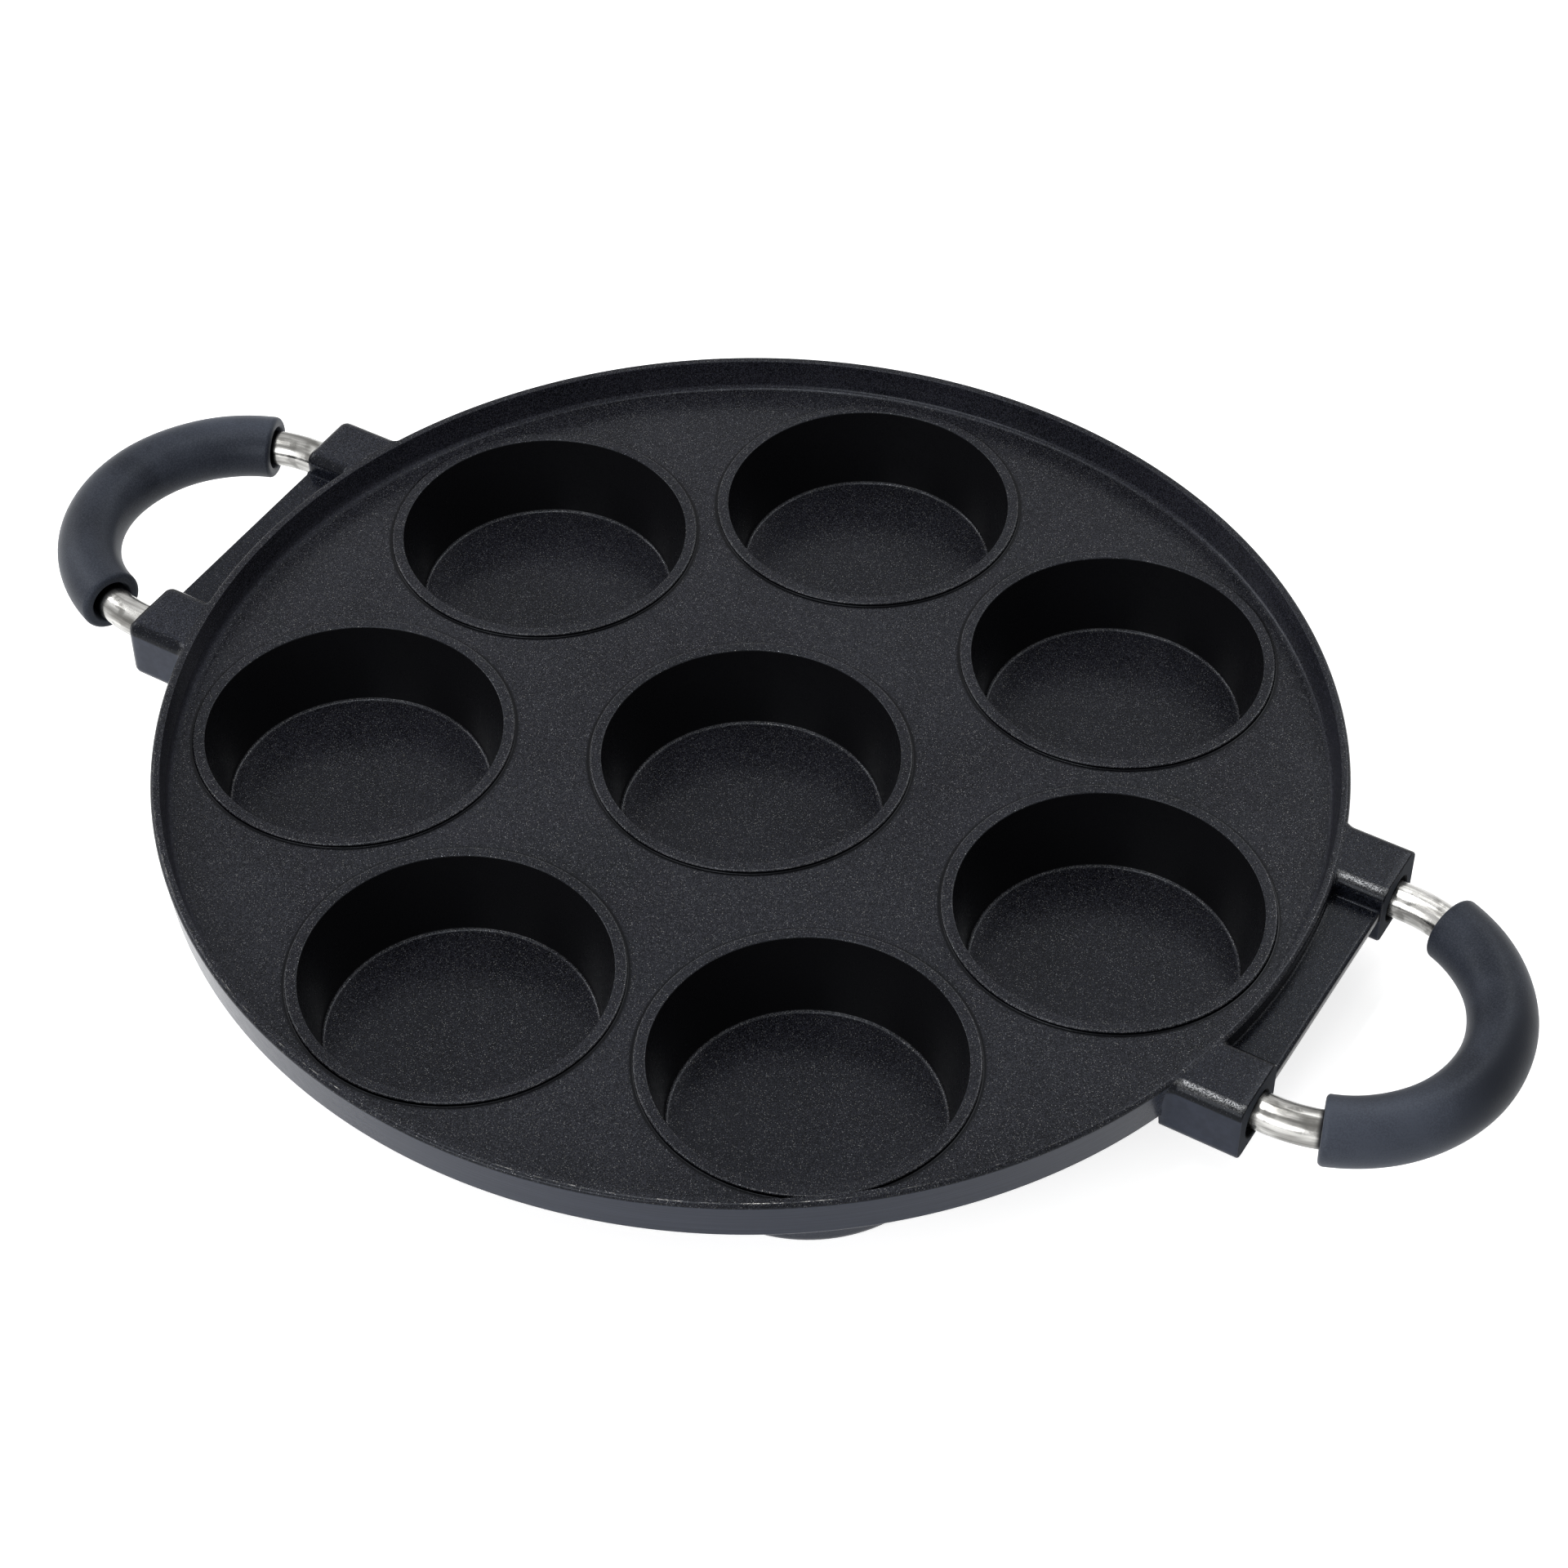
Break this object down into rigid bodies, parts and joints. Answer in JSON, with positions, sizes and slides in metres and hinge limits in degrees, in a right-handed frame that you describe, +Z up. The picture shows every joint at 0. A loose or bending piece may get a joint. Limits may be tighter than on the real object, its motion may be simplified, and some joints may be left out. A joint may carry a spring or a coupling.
{
  "type": "takoyaki pan",
  "caption": "Round non-stick cast griddle pan with flat-bottomed round wells, a low rim and looped steel bar handles with soft grip sleeves, for cooking small round food on a hob.",
  "frame": {"origin": "middle of the pan, on the plane that the flat undersides of its cups stand on", "axes": "+X runs along the line through the handles, towards the handle beside the well that lies on the +X axis; +Z is up, out of the wells; +Y points to the rear"},
  "size_m": [0.419, 0.3, 0.0321],
  "materials": {
    "coated_casting": "dark flecked non-stick coating on a cast aluminium body",
    "polished_steel": "polished round bar",
    "grip_rubber": "matte, with a soft sheen",
    "blackened_steel": "black oxide"
  },
  "bodies": {
    "root": {"pan_body": "coated_casting", "handle_bar_right": "polished_steel", "handle_bar_left": "polished_steel", "grip_sleeve_right": "grip_rubber", "grip_sleeve_left": "grip_rubber", "set_screw_right_rear": "blackened_steel", "set_screw_right_front": "blackened_steel", "set_screw_left_rear": "blackened_steel", "set_screw_left_front": "blackened_steel"}
  },
  "joints": []
}
